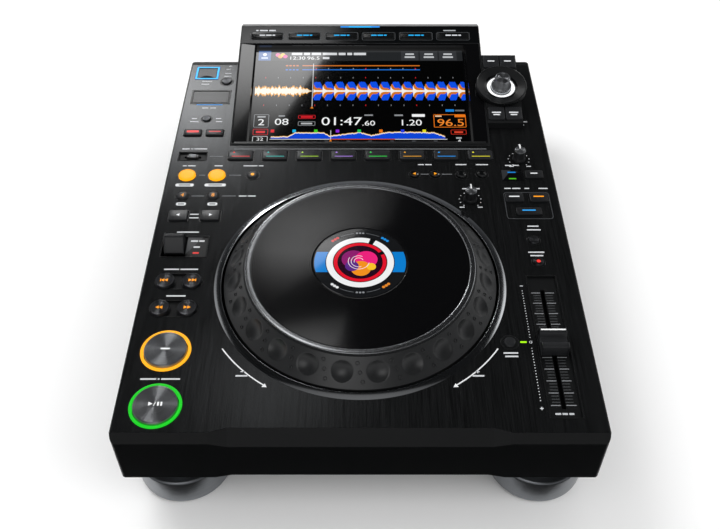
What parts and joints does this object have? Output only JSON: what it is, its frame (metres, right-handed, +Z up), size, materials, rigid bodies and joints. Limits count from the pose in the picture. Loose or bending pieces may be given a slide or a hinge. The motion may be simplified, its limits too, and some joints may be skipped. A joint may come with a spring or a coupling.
{
  "type": "tabletop media player",
  "caption": "Flat tabletop media player with a large jog wheel, tilted touch screen, tempo fader, rotary selector and lit transport buttons, standing on round feet.",
  "frame": {"origin": "on the table under the middle of the body", "axes": "+Z up, +X to the user's right, the front face points to -Y, +Y to the rear"},
  "size_m": [0.329, 0.453, 0.118],
  "materials": {
    "case_plastic": "fine moulded grain, black",
    "deck_aluminium": "black anodised, hairline brushed front to back",
    "housing_plastic": "satin black",
    "screen_glass": "polished, over a lit panel",
    "silver_trim": "satin turned",
    "dial_plastic": "satin charcoal",
    "platter_plastic": "polished with fine turned rings",
    "spun_metal": "spun face",
    "key_plastic": "satin black",
    "grey_key": "satin grey",
    "lit_orange": "lit translucent",
    "light_ring": "lit translucent",
    "lens": "clear window over a lit display",
    "foot_metal": "turned and brushed",
    "pad_rubber": "matt",
    "tray_steel": "black powder coat",
    "board": "green laminate",
    "supply_steel": "zinc plated sheet",
    "socket_plastic": "black",
    "screw_steel": "black oxide"
  },
  "bodies": {
    "chassis": {"top_case": "case_plastic", "deck_plate": "deck_aluminium", "chassis_tray": "tray_steel", "display_housing": "housing_plastic", "touch_screen": "screen_glass", "jog_trim_ring": "silver_trim", "jog_spindle": "supply_steel", "jog_display": "lens", "foot_sleeves": "foot_metal", "foot_pads": "pad_rubber", "button_light_rings": "light_ring", "control_inserts": "case_plastic", "storage_ports": "socket_plastic", "browse_pod": "housing_plastic", "control_board": "board", "power_supply": "supply_steel", "rear_sockets": "socket_plastic", "case_screws": "screw_steel"},
    "usb_stop_button": {"usb_stop_button": "spun_metal"},
    "time_mode_button": {"time_mode_button": "spun_metal"},
    "reloop_button": {"reloop_button": "spun_metal"},
    "beat_loop_4_button": {"beat_loop_4_button": "spun_metal"},
    "beat_loop_8_button": {"beat_loop_8_button": "spun_metal"},
    "call_back_button": {"call_back_button": "spun_metal"},
    "call_next_button": {"call_next_button": "spun_metal"},
    "delete_button": {"delete_button": "spun_metal"},
    "memory_button": {"memory_button": "spun_metal"},
    "tempo_range_button": {"tempo_range_button": "spun_metal"},
    "master_tempo_button": {"master_tempo_button": "spun_metal"},
    "tempo_reset_button": {"tempo_reset_button": "spun_metal"},
    "track_search_back_button": {"track_search_back_button": "spun_metal"},
    "track_search_next_button": {"track_search_next_button": "spun_metal"},
    "fast_search_back_button": {"fast_search_back_button": "spun_metal"},
    "fast_search_next_button": {"fast_search_next_button": "spun_metal"},
    "loop_in_button": {"loop_in_button": "lit_orange"},
    "loop_out_button": {"loop_out_button": "lit_orange"},
    "slip_key": {"slip_key": "key_plastic"},
    "quantize_key": {"quantize_key": "key_plastic"},
    "beat_jump_back_key": {"beat_jump_back_key": "key_plastic"},
    "beat_jump_next_key": {"beat_jump_next_key": "key_plastic"},
    "jog_mode_key": {"jog_mode_key": "key_plastic"},
    "beat_sync_key": {"beat_sync_key": "key_plastic"},
    "master_sync_key": {"master_sync_key": "key_plastic"},
    "key_sync_key": {"key_sync_key": "key_plastic"},
    "hot_cue_keys": {"hot_cue_keys": "key_plastic"},
    "cue_button": {"cue_button": "spun_metal"},
    "play_button": {"play_button": "spun_metal"},
    "screen_keys": {"screen_keys": "key_plastic"},
    "browse_keys": {"browse_keys": "grey_key"},
    "power_button": {"power_button": "key_plastic"},
    "jog_wheel": {"jog_dial": "dial_plastic", "jog_platter": "platter_plastic"},
    "browse_knob": {"browse_knob": "spun_metal"},
    "jog_adjust": {"jog_adjust": "spun_metal"},
    "speed_knob": {"speed_knob": "spun_metal"},
    "tempo_fader": {"tempo_fader": "key_plastic"},
    "call_switch": {"call_switch": "spun_metal"},
    "direction_lever": {"direction_lever": "key_plastic"},
    "usb_flap": {"usb_flap": "grey_key"},
    "card_door": {"card_door": "grey_key"}
  },
  "joints": [
    {"name": "usb_stop_button_press", "type": "slide", "parent": "chassis", "child": "usb_stop_button", "axis": [0, 0, -1], "range_m": [0, 0.0008], "stiffness_N_per_m": 400, "springref_m": -0.002},
    {"name": "time_mode_button_press", "type": "slide", "parent": "chassis", "child": "time_mode_button", "axis": [0, 0, -1], "range_m": [0, 0.0008], "stiffness_N_per_m": 400, "springref_m": -0.002},
    {"name": "reloop_button_press", "type": "slide", "parent": "chassis", "child": "reloop_button", "axis": [0, 0, -1], "range_m": [0, 0.0008], "stiffness_N_per_m": 400, "springref_m": -0.002},
    {"name": "beat_loop_4_button_press", "type": "slide", "parent": "chassis", "child": "beat_loop_4_button", "axis": [0, 0, -1], "range_m": [0, 0.0008], "stiffness_N_per_m": 400, "springref_m": -0.002},
    {"name": "beat_loop_8_button_press", "type": "slide", "parent": "chassis", "child": "beat_loop_8_button", "axis": [0, 0, -1], "range_m": [0, 0.0008], "stiffness_N_per_m": 400, "springref_m": -0.002},
    {"name": "call_back_button_press", "type": "slide", "parent": "chassis", "child": "call_back_button", "axis": [0, 0, -1], "range_m": [0, 0.0008], "stiffness_N_per_m": 400, "springref_m": -0.002},
    {"name": "call_next_button_press", "type": "slide", "parent": "chassis", "child": "call_next_button", "axis": [0, 0, -1], "range_m": [0, 0.0008], "stiffness_N_per_m": 400, "springref_m": -0.002},
    {"name": "delete_button_press", "type": "slide", "parent": "chassis", "child": "delete_button", "axis": [0, 0, -1], "range_m": [0, 0.0008], "stiffness_N_per_m": 400, "springref_m": -0.002},
    {"name": "memory_button_press", "type": "slide", "parent": "chassis", "child": "memory_button", "axis": [0, 0, -1], "range_m": [0, 0.0008], "stiffness_N_per_m": 400, "springref_m": -0.002},
    {"name": "tempo_range_button_press", "type": "slide", "parent": "chassis", "child": "tempo_range_button", "axis": [0, 0, -1], "range_m": [0, 0.0008], "stiffness_N_per_m": 400, "springref_m": -0.002},
    {"name": "master_tempo_button_press", "type": "slide", "parent": "chassis", "child": "master_tempo_button", "axis": [0, 0, -1], "range_m": [0, 0.0008], "stiffness_N_per_m": 400, "springref_m": -0.002},
    {"name": "tempo_reset_button_press", "type": "slide", "parent": "chassis", "child": "tempo_reset_button", "axis": [0, 0, -1], "range_m": [0, 0.0008], "stiffness_N_per_m": 400, "springref_m": -0.002},
    {"name": "track_search_back_button_press", "type": "slide", "parent": "chassis", "child": "track_search_back_button", "axis": [0, 0, -1], "range_m": [0, 0.0008], "stiffness_N_per_m": 400, "springref_m": -0.002},
    {"name": "track_search_next_button_press", "type": "slide", "parent": "chassis", "child": "track_search_next_button", "axis": [0, 0, -1], "range_m": [0, 0.0008], "stiffness_N_per_m": 400, "springref_m": -0.002},
    {"name": "fast_search_back_button_press", "type": "slide", "parent": "chassis", "child": "fast_search_back_button", "axis": [0, 0, -1], "range_m": [0, 0.0008], "stiffness_N_per_m": 400, "springref_m": -0.002},
    {"name": "fast_search_next_button_press", "type": "slide", "parent": "chassis", "child": "fast_search_next_button", "axis": [0, 0, -1], "range_m": [0, 0.0008], "stiffness_N_per_m": 400, "springref_m": -0.002},
    {"name": "loop_in_button_press", "type": "slide", "parent": "chassis", "child": "loop_in_button", "axis": [0, 0, -1], "range_m": [0, 0.0008], "stiffness_N_per_m": 400, "springref_m": -0.002},
    {"name": "loop_out_button_press", "type": "slide", "parent": "chassis", "child": "loop_out_button", "axis": [0, 0, -1], "range_m": [0, 0.0008], "stiffness_N_per_m": 400, "springref_m": -0.002},
    {"name": "slip_key_press", "type": "slide", "parent": "chassis", "child": "slip_key", "axis": [0, 0, -1], "range_m": [0, 0.0008], "stiffness_N_per_m": 400, "springref_m": -0.002},
    {"name": "quantize_key_press", "type": "slide", "parent": "chassis", "child": "quantize_key", "axis": [0, 0, -1], "range_m": [0, 0.0008], "stiffness_N_per_m": 400, "springref_m": -0.002},
    {"name": "beat_jump_back_key_press", "type": "slide", "parent": "chassis", "child": "beat_jump_back_key", "axis": [0, 0, -1], "range_m": [0, 0.0008], "stiffness_N_per_m": 400, "springref_m": -0.002},
    {"name": "beat_jump_next_key_press", "type": "slide", "parent": "chassis", "child": "beat_jump_next_key", "axis": [0, 0, -1], "range_m": [0, 0.0008], "stiffness_N_per_m": 400, "springref_m": -0.002},
    {"name": "jog_mode_key_press", "type": "slide", "parent": "chassis", "child": "jog_mode_key", "axis": [0, 0, -1], "range_m": [0, 0.0008], "stiffness_N_per_m": 400, "springref_m": -0.002},
    {"name": "beat_sync_key_press", "type": "slide", "parent": "chassis", "child": "beat_sync_key", "axis": [0, 0, -1], "range_m": [0, 0.0008], "stiffness_N_per_m": 400, "springref_m": -0.002},
    {"name": "master_sync_key_press", "type": "slide", "parent": "chassis", "child": "master_sync_key", "axis": [0, 0, -1], "range_m": [0, 0.0008], "stiffness_N_per_m": 400, "springref_m": -0.002},
    {"name": "key_sync_key_press", "type": "slide", "parent": "chassis", "child": "key_sync_key", "axis": [0, 0, -1], "range_m": [0, 0.0008], "stiffness_N_per_m": 400, "springref_m": -0.002},
    {"name": "hot_cue_keys_press", "type": "slide", "parent": "chassis", "child": "hot_cue_keys", "axis": [0, 0, -1], "range_m": [0, 0.0008], "stiffness_N_per_m": 400, "springref_m": -0.002},
    {"name": "cue_button_press", "type": "slide", "parent": "chassis", "child": "cue_button", "axis": [0, 0, -1], "range_m": [0, 0.0008], "stiffness_N_per_m": 800, "springref_m": -0.002},
    {"name": "play_button_press", "type": "slide", "parent": "chassis", "child": "play_button", "axis": [0, 0, -1], "range_m": [0, 0.0008], "stiffness_N_per_m": 800, "springref_m": -0.002},
    {"name": "screen_keys_press", "type": "slide", "parent": "chassis", "child": "screen_keys", "axis": [0, 0.2018, -0.9794], "range_m": [0, 0.0008], "stiffness_N_per_m": 400, "springref_m": -0.002},
    {"name": "browse_keys_press", "type": "slide", "parent": "chassis", "child": "browse_keys", "axis": [0, 0.2018, -0.9794], "range_m": [0, 0.0008], "stiffness_N_per_m": 400, "springref_m": -0.002},
    {"name": "power_button_press", "type": "slide", "parent": "chassis", "child": "power_button", "axis": [0, -1, 0], "range_m": [0, 0.0015], "stiffness_N_per_m": 400, "springref_m": -0.002},
    {"name": "jog_spin", "type": "hinge", "parent": "chassis", "child": "jog_wheel", "pos_m": [0, -0.0862, 0.1], "axis": [0, 0, 1], "continuous": true},
    {"name": "browse_turn", "type": "hinge", "parent": "chassis", "child": "browse_knob", "pos_m": [0.1297, 0.13624, 0.10288], "axis": [0, -0.2018, 0.9794], "continuous": true},
    {"name": "jog_adjust_turn", "type": "hinge", "parent": "chassis", "child": "jog_adjust", "pos_m": [0.0912, 0.001, 0.09], "axis": [0, 0, -1], "range_deg": [-140, 140]},
    {"name": "speed_turn", "type": "hinge", "parent": "chassis", "child": "speed_knob", "pos_m": [0.1377, 0.052, 0.09], "axis": [0, 0, -1], "range_deg": [-140, 140]},
    {"name": "tempo_slide", "type": "slide", "parent": "chassis", "child": "tempo_fader", "axis": [0, -1, 0], "range_m": [-0.05, 0.05]},
    {"name": "call_switch_slide", "type": "slide", "parent": "chassis", "child": "call_switch", "axis": [1, 0, 0], "range_m": [-0.0055, 0.0055]},
    {"name": "direction_tilt", "type": "hinge", "parent": "chassis", "child": "direction_lever", "pos_m": [-0.1451, -0.0528, 0.082], "axis": [-1, 0, 0], "range_deg": [-12, 12]},
    {"name": "usb_flap_hinge", "type": "hinge", "parent": "chassis", "child": "usb_flap", "pos_m": [-0.1474, 0.187, 0.0872], "axis": [-1, 0, 0], "range_deg": [0, 88]},
    {"name": "card_door_hinge", "type": "hinge", "parent": "chassis", "child": "card_door", "pos_m": [-0.13975, 0.1501, 0.0872], "axis": [-1, 0, 0], "range_deg": [0, 85]}
  ]
}
